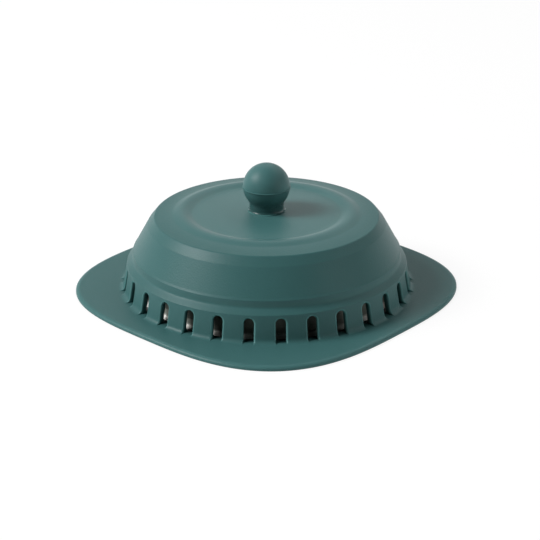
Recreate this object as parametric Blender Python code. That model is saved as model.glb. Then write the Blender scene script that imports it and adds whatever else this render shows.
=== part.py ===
"""Floor drain cover: a soft moulded dome with a slotted skirt on a square flange,
a ball knob screwed on top, and a drawn steel shell that presses up inside.

Metres, +Z up. The origin is on the floor, under the knob, and the flange lies
on the floor with its sides square to X and Y.
"""

import math

import bmesh
import bpy

MM = 0.001

# Square flange: its width from the skirt's foot to the middle of a side
FLANGE_WIDTH = 9.1 * MM
FLANGE_POWER = 3.04
FLANGE_THICK = 1.6 * MM
FLANGE_EDGE_ROUND = 0.5 * MM
FLANGE_UNDER_ROUND = 0.2 * MM

# Outer bands of the dome, from the floor up: the height and the inward run of each
SKIRT_FOOT_RADIUS = 50.9 * MM
SKIRT_HEIGHT = 9.1 * MM
SKIRT_DRAFT = 1.75 * MM
BEAD_HEIGHT = 2.8 * MM
BEAD_RUN = 2.2 * MM
STEP_HEIGHT = 1.6 * MM
STEP_DRAFT = 0.15 * MM
CONE_HEIGHT = 9.3 * MM
CONE_RUN = 5.35 * MM
CHAMFER_HEIGHT = 2.85 * MM
CHAMFER_RUN = 2.35 * MM
LEDGE_RISE = 0.65 * MM
LEDGE_WIDTH = 5.7 * MM
RIDGE_WIDTH = 7.7 * MM
RIDGE_RISE = 0.9 * MM
RIDGE_SHARPNESS = 1.5
DISC_CROWN = 0.8 * MM
FOOT_FILLET = 1.5 * MM
STEP_FILLET = 2.0 * MM
TOP_EDGE_ROUND = 0.5 * MM
FLANGE_HALF = SKIRT_FOOT_RADIUS + FLANGE_WIDTH

# Walls of the moulding
DOME_WALL = 2.2 * MM
SKIRT_WALL = 2.45 * MM

# Slots in the skirt
SLOT_COUNT = 30
SLOT_WIDTH = 3.3 * MM
SLOT_TOP_MARGIN = 1.2 * MM
SLOT_SILL = 0.1 * MM
SLOT_OVERRUN = 2.0 * MM

# Steel shell
STEEL_THICK = 0.6 * MM
SHELL_SEAT_GAP = 0.3 * MM
SHELL_FLOOR_GAP = 0.9 * MM
SHELL_WALL_GAP = 0.8 * MM
SHELL_FLARE_RADIUS = 2.9 * MM
SHELL_FLARE_TURN = math.radians(50)
SHELL_CORNER_RADIUS = 4.0 * MM
SHELL_HOLE_CLEARANCE = 2.0 * MM
SHELL_HOLE_LIP = 1.0 * MM

# Ball knob
BALL_RADIUS = 8.15 * MM
BALL_LIFT = 8.7 * MM
NECK_RADIUS = 5.6 * MM
NECK_FOOT_RADIUS = 6.4 * MM
NECK_FOOT_HEIGHT = 1.3 * MM
KNOB_SKIN = 2.6 * MM
NECK_SKIN = 1.6 * MM
MOULDED_GAP = 0.3 * MM

# Screw, washer and the core that they clamp to
SCREW_RADIUS = 2.0 * MM
SCREW_REACH = 6.7 * MM
SCREW_HEAD_RADIUS = 4.0 * MM
SCREW_HEAD_HEIGHT = 2.4 * MM
SCREW_HEAD_FLAT = 2.0 * MM
SCREW_TIP_CHAMFER = 0.5 * MM
SOCKET_RADIUS = 1.45 * MM
SOCKET_DEPTH = 1.3 * MM
WASHER_RADIUS = 8.0 * MM
WASHER_THICK = 1.0 * MM
SPIGOT_WALL = 1.0 * MM
FASTENER_GAP = 0.3 * MM
BORE_TIP_GAP = 0.6 * MM

# Facets
DOME_SEGMENTS = 90
SHELL_SEGMENTS = 48
KNOB_SEGMENTS = 32
SMALL_SEGMENTS = 24
ARCH_STEPS = 8
RIDGE_STEPS = 6
DISC_STEPS = 3
FILLET_STEPS = 3
ROUND_STEPS = 2
BALL_STEPS = 12
CORE_STEPS = 8
HEAD_STEPS = 4

SMOOTH_ANGLE = math.radians(35)
CORNER_SHARE = 0.45
MERGE = 1e-6


def offset_profile(points, distance):
    """Open (radius, height) outline moved sideways by a distance, with mitred corners.

    A positive distance moves it to the right of its direction of travel.
    """
    lines = []
    for (r0, z0), (r1, z1) in zip(points, points[1:]):
        length = math.hypot(r1 - r0, z1 - z0)
        nr, nz = (z1 - z0) / length, -(r1 - r0) / length
        lines.append(((r0 + nr * distance, z0 + nz * distance),
                      (r1 + nr * distance, z1 + nz * distance)))
    moved = [lines[0][0]]
    for first, second in zip(lines, lines[1:]):
        moved.append(meeting_point(first, second))
    moved.append(lines[-1][1])
    return moved


def meeting_point(first, second):
    """Where two (radius, height) lines cross, or their shared end if they run on."""
    (ax, ay), (bx, by) = first
    (cx, cy), (dx, dy) = second
    ux, uy = bx - ax, by - ay
    vx, vy = dx - cx, dy - cy
    cross = ux * vy - uy * vx
    if abs(cross) < 1e-12:
        return bx, by
    t = ((cx - ax) * vy - (cy - ay) * vx) / cross
    return ax + ux * t, ay + uy * t


def rounded_corner(before, corner, after, radius, steps):
    """Points of an arc that rounds one corner of a (radius, height) outline."""
    ux, uy = before[0] - corner[0], before[1] - corner[1]
    vx, vy = after[0] - corner[0], after[1] - corner[1]
    ul, vl = math.hypot(ux, uy), math.hypot(vx, vy)
    ux, uy, vx, vy = ux / ul, uy / ul, vx / vl, vy / vl
    half = math.acos(max(-1.0, min(1.0, ux * vx + uy * vy))) / 2
    reach = min(radius / math.tan(half), CORNER_SHARE * ul, CORNER_SHARE * vl)
    radius = reach * math.tan(half)
    mx, my = ux + vx, uy + vy
    ml = math.hypot(mx, my)
    cx = corner[0] + mx / ml * radius / math.sin(half)
    cy = corner[1] + my / ml * radius / math.sin(half)
    start = math.atan2(corner[1] + uy * reach - cy, corner[0] + ux * reach - cx)
    end = math.atan2(corner[1] + vy * reach - cy, corner[0] + vx * reach - cx)
    sweep = (end - start + math.pi) % math.tau - math.pi
    return [(cx + radius * math.cos(start + sweep * i / steps),
             cy + radius * math.sin(start + sweep * i / steps)) for i in range(steps + 1)]


def flange_reach(angle, half):
    """Distance from the axis to the rounded square's side at an angle."""
    c, s = abs(math.cos(angle)), abs(math.sin(angle))
    return half / (c ** FLANGE_POWER + s ** FLANGE_POWER) ** (1 / FLANGE_POWER)


def dome_corners():
    """Corners of the dome's outer side, from the skirt's foot up to the disc."""
    r, z = SKIRT_FOOT_RADIUS, FLANGE_THICK
    corners = {"foot": (r, z)}
    r, z = r - SKIRT_DRAFT, z + SKIRT_HEIGHT
    corners["skirt_top"] = (r, z)
    r, z = r - BEAD_RUN, z + BEAD_HEIGHT
    corners["step_foot"] = (r, z)
    r, z = r - STEP_DRAFT, z + STEP_HEIGHT
    corners["cone_foot"] = (r, z)
    r, z = r - CONE_RUN, z + CONE_HEIGHT
    corners["cone_top"] = (r, z)
    r, z = r - CHAMFER_RUN, z + CHAMFER_HEIGHT
    corners["ledge_edge"] = (r, z)
    r, z = r - LEDGE_WIDTH, z + LEDGE_RISE
    corners["ridge_outer"] = (r, z)
    corners["ridge_inner"] = (r - RIDGE_WIDTH, z)
    return corners


CORNERS = dome_corners()
DISC_RADIUS = CORNERS["ridge_inner"][0]
DISC_HEIGHT = CORNERS["ridge_inner"][1] + DISC_CROWN


def cavity_corners():
    """Corners of the dome's inner side, from under the disc down to the floor."""
    foot, skirt_top = CORNERS["foot"], CORNERS["skirt_top"]
    cone = [CORNERS["ledge_edge"], CORNERS["cone_top"], CORNERS["cone_foot"]]
    inner_cone = offset_profile(cone, DOME_WALL)
    inner_skirt = offset_profile([skirt_top, foot], SKIRT_WALL)
    ceiling = CORNERS["ledge_edge"][1] - DOME_WALL
    level = ((0.0, ceiling), (SKIRT_FOOT_RADIUS, ceiling))
    crown = meeting_point(level, (inner_cone[0], inner_cone[1]))
    waist = meeting_point((inner_cone[1], inner_cone[2]), (inner_skirt[0], inner_skirt[1]))
    return [crown, inner_cone[1], waist, inner_skirt[1], (inner_skirt[1][0], 0.0)]


CAVITY = cavity_corners()
CEILING = CAVITY[0][1]

# What the knob's spigot, the washer and the screw take from the sizes above
SCREW_HOLE_RADIUS = SCREW_RADIUS + FASTENER_GAP
SPIGOT_RADIUS = SCREW_HOLE_RADIUS + SPIGOT_WALL
DOME_HOLE_RADIUS = SPIGOT_RADIUS + FASTENER_GAP
WASHER_TOP = CEILING - FASTENER_GAP
WASHER_UNDER = WASHER_TOP - WASHER_THICK
HEAD_TOP = WASHER_UNDER - FASTENER_GAP
BALL_HEIGHT = DISC_HEIGHT + BALL_LIFT
SCREW_TIP = DISC_HEIGHT + SCREW_REACH


def ridge_points(steps):
    """The low round ridge on the top, from its outer foot to its inner foot."""
    outer, inner = CORNERS["ridge_outer"], CORNERS["ridge_inner"]
    points = []
    for i in range(steps + 1):
        t = i / steps
        points.append((outer[0] + (inner[0] - outer[0]) * t,
                       outer[1] + RIDGE_RISE * math.sin(math.pi * t) ** RIDGE_SHARPNESS))
    return points


def disc_points(steps):
    """The low crown inside the ridge, from its hole out to just before the ridge."""
    points = []
    for i in range(steps):
        r = DOME_HOLE_RADIUS + (DISC_RADIUS - DOME_HOLE_RADIUS) * i / steps
        points.append((r, DISC_HEIGHT - DISC_CROWN * (r / DISC_RADIUS) ** 2))
    return points


def cover_rings():
    """Rings of the moulding as (inset from the flange's side or None, radius, height)."""
    tops = disc_points(DISC_STEPS) + ridge_points(RIDGE_STEPS)[::-1]
    rings = [(None, r, z) for r, z in tops]
    ledge, cone_top = CORNERS["ledge_edge"], CORNERS["cone_top"]
    rings += [(None, r, z) for r, z in rounded_corner(
        CORNERS["ridge_outer"], ledge, cone_top, TOP_EDGE_ROUND, ROUND_STEPS)]
    rings += [(None, *CORNERS[name]) for name in ("cone_top", "cone_foot")]
    rings += [(None, r, z) for r, z in rounded_corner(
        CORNERS["cone_foot"], CORNERS["step_foot"], CORNERS["skirt_top"], STEP_FILLET,
        FILLET_STEPS)]
    rings.append((None, *CORNERS["skirt_top"]))
    far = (FLANGE_HALF, FLANGE_THICK)
    rings += [(None, r, z) for r, z in rounded_corner(
        CORNERS["skirt_top"], CORNERS["foot"], far, FOOT_FILLET, FILLET_STEPS)]
    for i in range(ROUND_STEPS + 1):
        turn = math.pi / 2 * i / ROUND_STEPS
        inset = FLANGE_EDGE_ROUND * (1 - math.sin(turn))
        drop = FLANGE_EDGE_ROUND * (1 - math.cos(turn))
        rings.append((inset, None, FLANGE_THICK - drop))
    rings.append((0.0, None, FLANGE_UNDER_ROUND))
    rings.append((FLANGE_UNDER_ROUND, None, 0.0))
    rings += [(None, r, z) for r, z in reversed(CAVITY)]
    rings.append((None, DOME_HOLE_RADIUS, CEILING))
    return rings


def place_ring(verts, ring):
    """Moves a loop of vertices onto a ring, each at the angle that it has."""
    inset, radius, height = ring
    for vert in verts:
        angle = math.atan2(vert.co.y, vert.co.x)
        reach = radius if inset is None else flange_reach(angle, FLANGE_HALF - inset)
        vert.co = (reach * math.cos(angle), reach * math.sin(angle), height)


def new_material(name, colour, roughness, metallic=0.0):
    """One plain colour with its gloss."""
    material = bpy.data.materials.new(name)
    material.use_nodes = True
    shader = material.node_tree.nodes["Principled BSDF"]
    shader.inputs["Base Color"].default_value = (*colour, 1.0)
    shader.inputs["Roughness"].default_value = roughness
    shader.inputs["Metallic"].default_value = metallic
    material.diffuse_color = (*colour, 1.0)
    return material


def finish_object(name, mesh_builder, material):
    """Makes a smooth-shaded object from a bmesh, with its faces pointing out."""
    bmesh.ops.recalc_face_normals(mesh_builder, faces=mesh_builder.faces)
    mesh = bpy.data.meshes.new(name)
    mesh_builder.to_mesh(mesh)
    mesh_builder.free()
    if material:
        mesh.materials.append(material)
    mesh.shade_smooth()
    mesh.set_sharp_from_angle(angle=SMOOTH_ANGLE)
    thing = bpy.data.objects.new(name, mesh)
    bpy.context.collection.objects.link(thing)
    return thing


def turned_solid(name, profile, segments, material, closed=False):
    """Turns a (radius, height) outline about Z; an open one starts and ends on the axis."""
    bm = bmesh.new()
    verts = [bm.verts.new((r, 0.0, z)) for r, z in profile]
    edges = [bm.edges.new(pair) for pair in zip(verts, verts[1:])]
    if closed:
        edges.append(bm.edges.new((verts[-1], verts[0])))
    bmesh.ops.spin(bm, geom=verts + edges, cent=(0, 0, 0), axis=(0, 0, 1), angle=math.tau,
                   steps=segments, use_merge=True)
    bmesh.ops.remove_doubles(bm, verts=bm.verts, dist=MERGE)
    return finish_object(name, bm, material)


def cut(target, cutter):
    """Takes the cutter's shape out of the target and keeps the cutter out of the model."""
    cutter.display_type = "WIRE"
    cutter.hide_render = True
    boolean = target.modifiers.new("Cut", "BOOLEAN")
    boolean.operation = "DIFFERENCE"
    boolean.solver = "EXACT"
    boolean.object = cutter


def slot_cutters():
    """All the slots of the skirt: arched prisms that run out from the axis."""
    half = SLOT_WIDTH / 2
    sill = FLANGE_THICK + SLOT_SILL
    spring = CORNERS["skirt_top"][1] - SLOT_TOP_MARGIN - half
    outline = [(half, sill)]
    for i in range(ARCH_STEPS + 1):
        turn = math.pi * i / ARCH_STEPS
        outline.append((half * math.cos(turn), spring + half * math.sin(turn)))
    outline.append((-half, sill))
    inner = CAVITY[2][0] - SLOT_OVERRUN
    outer = SKIRT_FOOT_RADIUS + FOOT_FILLET + SLOT_OVERRUN
    bm = bmesh.new()
    for i in range(SLOT_COUNT):
        angle = math.tau * (i + 0.5) / SLOT_COUNT
        c, s = math.cos(angle), math.sin(angle)
        verts = [bm.verts.new((inner * c - u * s, inner * s + u * c, z)) for u, z in outline]
        face = bm.faces.new(verts)
        grown = bmesh.ops.extrude_face_region(bm, geom=[face])["geom"]
        moved = [v for v in grown if isinstance(v, bmesh.types.BMVert)]
        run = outer - inner
        bmesh.ops.translate(bm, verts=moved, vec=(run * c, run * s, 0.0))
    return finish_object("slot_cutters", bm, None)


def make_cover_shell(material):
    """Dome, slotted skirt and square flange in one moulding."""
    rings = cover_rings()
    bm = bmesh.new()
    first = bmesh.ops.create_circle(bm, cap_ends=False, radius=rings[0][1],
                                    segments=DOME_SEGMENTS)["verts"]
    place_ring(first, rings[0])
    loop = list(bm.edges)
    for ring in rings[1:] + rings[:1]:
        grown = bmesh.ops.extrude_edge_only(bm, edges=loop)["geom"]
        place_ring([v for v in grown if isinstance(v, bmesh.types.BMVert)], ring)
        loop = [e for e in grown if isinstance(e, bmesh.types.BMEdge)]
    bmesh.ops.remove_doubles(bm, verts=bm.verts, dist=MERGE)
    cover = finish_object("cover_shell", bm, material)
    cut(cover, slot_cutters())
    return cover


def shell_outline():
    """Outer side of the steel shell, from its hole out over the cone to its rim."""
    crown, cone_top, waist = CAVITY[:3]
    seat = offset_profile([(0.0, CEILING), crown, cone_top, waist], SHELL_SEAT_GAP)
    wall = waist[0] - SHELL_WALL_GAP
    wall_top = meeting_point((seat[2], seat[3]), ((wall, waist[1]), (wall, 0.0)))
    flare_top = SHELL_FLOOR_GAP + (STEEL_THICK + SHELL_FLARE_RADIUS) * math.sin(
        SHELL_FLARE_TURN)
    hole = WASHER_RADIUS + SHELL_HOLE_CLEARANCE
    outline = [(hole, seat[1][1] - SHELL_HOLE_LIP), (hole + SHELL_HOLE_LIP, seat[1][1])]
    outline += rounded_corner(outline[1], seat[1], seat[2], SHELL_CORNER_RADIUS, ROUND_STEPS)
    outline.append(seat[2])
    outline += rounded_corner(seat[2], wall_top, (wall, flare_top), SHELL_CORNER_RADIUS,
                              ROUND_STEPS)
    for i in range(FILLET_STEPS + 1):
        turn = SHELL_FLARE_TURN * i / FILLET_STEPS
        outline.append((wall + SHELL_FLARE_RADIUS * (1 - math.cos(turn)),
                        flare_top - SHELL_FLARE_RADIUS * math.sin(turn)))
    return outline


def make_steel_shell(material):
    """Drawn steel bowl, upside down, with a flared rim and a hole round the washer."""
    outer = shell_outline()
    inner = offset_profile(outer, STEEL_THICK)
    return turned_solid("steel_shell", outer + inner[::-1], SHELL_SEGMENTS, material, True)


def ball_arc(radius, height, start, end, steps):
    """Arc of a ball's side between two latitudes, in radians, from the first to the last."""
    return [(radius * math.cos(start + (end - start) * i / steps),
             height + radius * math.sin(start + (end - start) * i / steps))
            for i in range(steps + 1)]


def core_outline(grow):
    """Side of the knob's core grown by a gap: ball, stem and spigot, from the top down."""
    ball = BALL_RADIUS - KNOB_SKIN + grow
    stem = NECK_RADIUS - NECK_SKIN + grow
    meets = -math.acos(stem / ball)
    return ball_arc(ball, BALL_HEIGHT, math.pi / 2, meets, CORE_STEPS), stem


def make_ball_knob(material):
    """Soft skin of the knob, open at the foot where the core's stem comes out."""
    foot = DISC_HEIGHT + FASTENER_GAP
    meets = -math.acos(NECK_RADIUS / BALL_RADIUS)
    outer = ball_arc(BALL_RADIUS, BALL_HEIGHT, math.pi / 2, meets, BALL_STEPS)
    outer[0] = (0.0, BALL_HEIGHT + BALL_RADIUS)
    outer.append((NECK_RADIUS, foot + NECK_FOOT_HEIGHT))
    outer.append((NECK_FOOT_RADIUS, foot))
    pocket, stem = core_outline(MOULDED_GAP)
    pocket[0] = (0.0, pocket[0][1])
    return turned_solid("ball_knob", outer + [(stem, foot)] + pocket[::-1], KNOB_SEGMENTS,
                        material)


def make_knob_core(material):
    """Rigid core of the knob: ball, stem, and a spigot that centres it in the dome."""
    side, stem = core_outline(0.0)
    side[0] = (0.0, side[0][1])
    shoulder = DISC_HEIGHT + FASTENER_GAP
    bore_top = SCREW_TIP + BORE_TIP_GAP
    outline = side + [(stem, shoulder), (SPIGOT_RADIUS, shoulder), (SPIGOT_RADIUS, CEILING),
                      (SCREW_HOLE_RADIUS, CEILING), (SCREW_HOLE_RADIUS, bore_top),
                      (0.0, bore_top)]
    return turned_solid("knob_core", outline, SMALL_SEGMENTS, material)


def make_knob_washer(material):
    """Flat washer that spreads the screw's clamp under the dome."""
    outline = [(SCREW_HOLE_RADIUS, WASHER_TOP), (WASHER_RADIUS, WASHER_TOP),
               (WASHER_RADIUS, WASHER_UNDER), (SCREW_HOLE_RADIUS, WASHER_UNDER)]
    return turned_solid("knob_washer", outline, KNOB_SEGMENTS, material, True)


def make_knob_screw(material):
    """Button-head screw with a hexagon socket, driven up from below."""
    under = HEAD_TOP - SCREW_HEAD_HEIGHT
    outline = [(0.0, SCREW_TIP), (SCREW_RADIUS - SCREW_TIP_CHAMFER, SCREW_TIP),
               (SCREW_RADIUS, SCREW_TIP - SCREW_TIP_CHAMFER), (SCREW_RADIUS, HEAD_TOP),
               (SCREW_HEAD_RADIUS, HEAD_TOP)]
    for i in range(1, HEAD_STEPS + 1):
        turn = math.pi / 2 * i / HEAD_STEPS
        round_width = (SCREW_HEAD_RADIUS - SCREW_HEAD_FLAT) * math.cos(turn)
        outline.append((SCREW_HEAD_FLAT + round_width,
                        HEAD_TOP - SCREW_HEAD_HEIGHT * math.sin(turn)))
    outline.append((0.0, under))
    screw = turned_solid("knob_screw", outline, SMALL_SEGMENTS, material)
    bm = bmesh.new()
    bmesh.ops.create_cone(bm, cap_ends=True, segments=6, radius1=SOCKET_RADIUS,
                          radius2=SOCKET_RADIUS, depth=2 * SOCKET_DEPTH)
    bmesh.ops.translate(bm, verts=bm.verts, vec=(0.0, 0.0, under))
    cut(screw, finish_object("socket_cutter", bm, None))
    return screw


def build():
    """Makes the six pieces in an empty scene."""
    for thing in list(bpy.data.objects):
        bpy.data.objects.remove(thing, do_unlink=True)
    silicone = new_material("silicone", (0.055, 0.135, 0.135), 0.55)
    steel = new_material("polished_steel", (0.62, 0.61, 0.59), 0.25, 1.0)
    plastic = new_material("core_plastic", (0.05, 0.05, 0.05), 0.5)
    make_cover_shell(silicone)
    make_ball_knob(silicone)
    make_knob_core(plastic)
    make_knob_washer(steel)
    make_knob_screw(steel)
    make_steel_shell(steel)


build()
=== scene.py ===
from collections import namedtuple
import math

import bmesh
import bpy
from mathutils import Matrix, Vector


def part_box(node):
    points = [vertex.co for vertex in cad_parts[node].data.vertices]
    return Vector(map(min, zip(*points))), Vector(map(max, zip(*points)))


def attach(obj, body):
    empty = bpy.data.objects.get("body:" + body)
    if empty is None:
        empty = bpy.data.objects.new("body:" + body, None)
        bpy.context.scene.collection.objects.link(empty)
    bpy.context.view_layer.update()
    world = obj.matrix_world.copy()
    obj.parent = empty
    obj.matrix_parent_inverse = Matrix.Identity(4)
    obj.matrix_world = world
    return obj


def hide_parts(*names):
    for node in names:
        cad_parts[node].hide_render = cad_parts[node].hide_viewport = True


# Floor drain cover: a soft moulded dome with a slotted skirt on a square flange, a ball
# knob clamped on top and a drawn steel liner pressed up inside. Metres, +Z up, the floor
# at zero and the dome's axis on Z. A place on an outline is (radius, height).

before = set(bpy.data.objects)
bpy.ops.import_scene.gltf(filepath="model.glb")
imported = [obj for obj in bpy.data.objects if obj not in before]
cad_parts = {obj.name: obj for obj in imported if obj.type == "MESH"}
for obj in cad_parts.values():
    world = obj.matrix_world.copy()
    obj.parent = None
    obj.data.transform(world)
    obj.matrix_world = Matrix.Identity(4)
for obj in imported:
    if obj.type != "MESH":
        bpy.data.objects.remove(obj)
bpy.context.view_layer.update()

MM = 0.001
QUARTER = math.pi / 2

# Flange: a square with bulging sides and round corners
FLANGE_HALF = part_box("cover_shell")[1].x
FLANGE_POWER = 3.04
FLANGE_THICK = 1.6 * MM
RIM_ROUND = 1.0 * MM
RIM_REACH = 1.5 * MM
RIM_UNDER_ROUND = 0.25 * MM
RIM_FLASH = 0.04 * MM
RIM_SEAM = 0.35 * MM
FLANGE_FLAT_INSET = 1.05 * RIM_REACH

# Skirt under the dome
SKIRT_FOOT_RADIUS = 50.9 * MM
SKIRT_HEIGHT = 9.1 * MM
SKIRT_DRAFT = 1.75 * MM
FOOT_FILLET = 1.85 * MM
CAVITY_FOOT = (48.49 * MM, 1.14 * MM)
CAVITY_WAIST = (46.59 * MM, 11.06 * MM)

# Slots through the skirt. Their edges are less round near the flange, by a share of the
# height above it, and over the arch, by a share of the room that is left.
SLOT_COUNT = 30
SLOT_HALF_WIDTH = 1.7 * MM
SLOT_TURN = math.radians(-0.28)
SLOT_SPRING = 7.85 * MM
SLOT_EDGE_ROUND = 0.6 * MM
SLOT_INNER_ROUND = 0.95 * MM
SLOT_EDGE_FADE = 1.3
SLOT_ARCH_FADE = 0.85

# Dome's outer bands as (radius, height, edge rounding), from the skirt's top to the ledge
SKIRT_TOP = (49.15 * MM, 10.7 * MM, 0.45 * MM)
DOME_BANDS = [
    (47.05 * MM, 12.4 * MM, 1.2 * MM),
    (46.92 * MM, 14.85 * MM, 0.15 * MM),
    (46.45 * MM, 15.5 * MM, 0.6 * MM),
    (41.45 * MM, 24.4 * MM, 1.6 * MM),
    (39.1 * MM, 27.25 * MM, 0.9 * MM),
]
RIDGE_OUTER = (33.4 * MM, 27.9 * MM)
RIDGE_INNER = (25.7 * MM, 27.9 * MM)
RIDGE_RISE = 0.9 * MM
RIDGE_SHARPNESS = 1.5
DISC_CROWN = 0.8 * MM
DISC_TOP = RIDGE_INNER[1] + DISC_CROWN

# Dome's hole and its inner side, from the hole's lower edge to the skirt
DOME_HOLE = 3.6 * MM
HOLE_FLARE = 1.0 * MM
CEILING = 25.05 * MM
CAVITY_BANDS = [
    (38.06 * MM, CEILING, 1.5 * MM),
    (39.64 * MM, 23.14 * MM, 1.0 * MM),
]

# Ball knob's skin, which stands on the disc. Its parting line is given as (out of the ball,
# above the seam), with the turns in radians that the ball's side keeps off it.
BALL_RADIUS = 8.15 * MM
BALL_HEIGHT = DISC_TOP + 8.7 * MM
PARTING_DROP = 0.3 * MM
PARTING_LINE = [(0.28 * MM, 0.07 * MM), (0.28 * MM, -0.05 * MM), (-0.02 * MM, -0.1 * MM)]
PARTING_CLEAR_ABOVE = 0.026
PARTING_CLEAR_BELOW = 0.03
NECK_RADIUS = 5.95 * MM
NECK_MEETS_BALL = 0.8 * MM
NECK_TOP_DROP = 1.18 * MM
NECK_TOP_ROUND = 3.0 * MM
NECK_FOOT_ROUND = 1.0 * MM
FOOT_RADIUS = 6.6 * MM
FOOT_TOP = DISC_TOP + 0.55 * MM
FOOT_LIP = DISC_TOP + 0.1 * MM
FOOT_LIP_ROUND = 0.2 * MM
KNOB_BORE = 4.3 * MM
KNOB_BORE_TOP = DISC_TOP + 3.5 * MM
CONTACT_GAP = 0.02 * MM

# Side on which the knob's foot lifts a little off the disc, and how far
LIP_LIFT = 0.3 * MM
LIP_LIFT_AZIMUTH = 50
LIP_LIFT_POWER = 6
LIP_LIFT_HEIGHT = 0.5 * MM

# Gap that stands for pressed or clamped contact
SEAT_GAP = 0.3 * MM

# Steel liner: the outer side from its hole to its rim as (radius, height, rounding)
STEEL_THICK = 0.6 * MM
LINER_TOP = CEILING - SEAT_GAP
LINER_BANDS = [
    (10.0 * MM, LINER_TOP - 1.0 * MM, 0.0),
    (11.0 * MM, LINER_TOP, 0.6 * MM),
    (37.92 * MM, LINER_TOP, 4.0 * MM),
    (39.4 * MM, 22.96 * MM, 3.0 * MM),
    (41.0 * MM, 12.0 * MM, 6.0 * MM),
    (43.6 * MM, 3.4 * MM, 1.5 * MM),
    (44.6 * MM, 1.6 * MM, 0.5 * MM),
    (45.5 * MM, 0.5 * MM, 0.0),
]
WALL_TOP, WALL_MIDDLE, WALL_FOOT = (band[:2] for band in LINER_BANDS[3:6])

# Clamp under the dome
WASHER_BORE = 2.3 * MM
WASHER_RADIUS = 8.0 * MM
WASHER_TOP = CEILING - SEAT_GAP
WASHER_UNDER = WASHER_TOP - 1.0 * MM
WASHER_EDGE = 0.12 * MM
SCREW_SHANK = 2.0 * MM
SCREW_TIP = DISC_TOP + 6.7 * MM
SCREW_TIP_CHAMFER = 0.5 * MM
SCREW_SEAT = WASHER_UNDER - SEAT_GAP
SCREW_HEAD_RADIUS = 4.0 * MM
SCREW_HEAD_HEIGHT = 2.4 * MM
SCREW_HEAD_EDGE = 0.1 * MM
SOCKET_RADIUS = 1.45 * MM
SOCKET_DEPTH = 1.3 * MM
SOCKET_LAND = 1.3 * SOCKET_RADIUS

# Mesh steps
FILLET_ROWS = 5
STRAIGHT_ROWS = 4
ARCH_ROWS = 7
EDGE_STEPS = 4
INNER_EDGE_STEPS = 2
WALL_STEPS = 3
SILL_STEPS = 3
RIM_STEPS = 8
RIM_UNDER_STEPS = 3
OUTER_SHARES = (0.0, 0.35, 0.65, 0.85, 0.95, 1.0)
INNER_SHARES = (0.0, 0.15, 0.55, 1.0)
FLANGE_SHARES = (0.03, 0.2, 0.45, 0.7, 0.9, 1.0)
UNDERSIDE_SHARES = (1.0, 0.5, 0.05)
RIDGE_STEPS = 24
DISC_STEPS = 12
BALL_UPPER_STEPS = 26
BALL_LOWER_STEPS = 14
SCREW_HEAD_STEPS = 10
KNOB_SEGMENTS = 128
LINER_SEGMENTS = 192
WASHER_SEGMENTS = 96
SCREW_SEGMENTS = 72
ARC_STEP = math.radians(7)
ARC_SUPPORT = 1.5
MERGE = 1e-6
SHARP_ANGLE = math.radians(50)

# Camera, as fitted to the photograph: it looks down on the dome from one flange corner
CAMERA_AZIMUTH = math.radians(42.40)
CAMERA_ELEVATION = math.radians(23.016)
CAMERA_ROLL = math.radians(-0.146)
CAMERA_DISTANCE = 493.64 * MM
CAMERA_AIM = Vector((0.837, 0.764, 5.824)) * MM
CAMERA_LENS_MM = 92.79
CAMERA_SENSOR_MM = 36.0
CAMERA_CLIP_START = 10 * MM

# Stage: soft boxes as (name, azimuth, elevation, distance, half spread, glow)
SOFTBOXES = [
    ("key", -84, 41, 1.6, (6, 6), 11.5),
    ("key_halo", -84, 41, 2.0, (12, 12), 13.1),
    ("left_box", -62, 35, 1.8, (13, 9), 1.3),
    ("right_box", 60, 19, 1.8, (14, 10), 1.7),
]

# Glow of the room as the object sees it, beside a white of 1. A lobe is (azimuth that it
# faces, ramp of the cosine off it, one or two ramps of how far up it lies, glow). The wall
# behind the object is white to what mirrors it, within its own two ramps.
ROOM_GLOW = 0.02
ROOM_LOBES = [
    ("backdrop", 140, (-0.1, 0.15), [(0.27, 0.17)], 1.5),
    ("light_ring", 180, (-0.65, -0.5), [(0.43, 0.5), (0.73, 0.67)], 1.1),
    ("lit_ceiling", 145, (0.45, 0.75), [(0.43, 0.5), (0.93, 0.8)], 1.0),
]
BACK_WALL_AZIMUTH = 180
BACK_WALL_SIDES = (0.1, 0.4)
BACK_WALL_TOP = (0.27, 0.17)
FLOOR_HALF = 1.5
FLOOR_GLOW = 0.86
FLOOR_LIT = (0.7, 0.7, 0.7)
FLOOR_SHOWN = (0.16, 0.16, 0.16)

# Colours of the silicone
SILICONE = (0.0475, 0.141, 0.140)
SILICONE_PALE = (0.0505, 0.146, 0.145)
# Painted shade, for the slots and under the knob's parting line
SILICONE_PAINTED_SHADE = (0.027, 0.08, 0.079)
# Painted light on the top inside the ridge
SILICONE_TOP_PAINTED_LIGHT = (0.0565, 0.165, 0.164)
SILICONE_BALL = (0.06, 0.172, 0.171)
# Painted light, along thin edges and on the knob's foot
SILICONE_EDGE_PAINTED_LIGHT = (0.1, 0.265, 0.26)

# Finish of the silicone: how rough it is and how far that varies, its grain as (strength,
# depth), the bloom on its upper faces, and the scales of its mottling, grain and pits
COVER_ROUGHNESS = 0.43
KNOB_ROUGHNESS = 0.45
ROUGHNESS_SPREAD = 0.10
SILICONE_GLOSS = 0.21
COVER_GRAIN = (0.75, 0.06 * MM)
KNOB_GRAIN = (0.2, 0.04 * MM)
BLOOM_WEIGHT = 0.55
BLOOM_IOR = 1.3
COVER_BLOOM_ROUGHNESS = 0.4
KNOB_BLOOM_ROUGHNESS = 0.75
MOTTLE_SCALE = 55.0
MOTTLE_RANGE = (0.35, 0.65)
GRAIN_SCALE = 1900.0
PIT_SCALE = 1500.0
PIT_SHARE = 0.35
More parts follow.
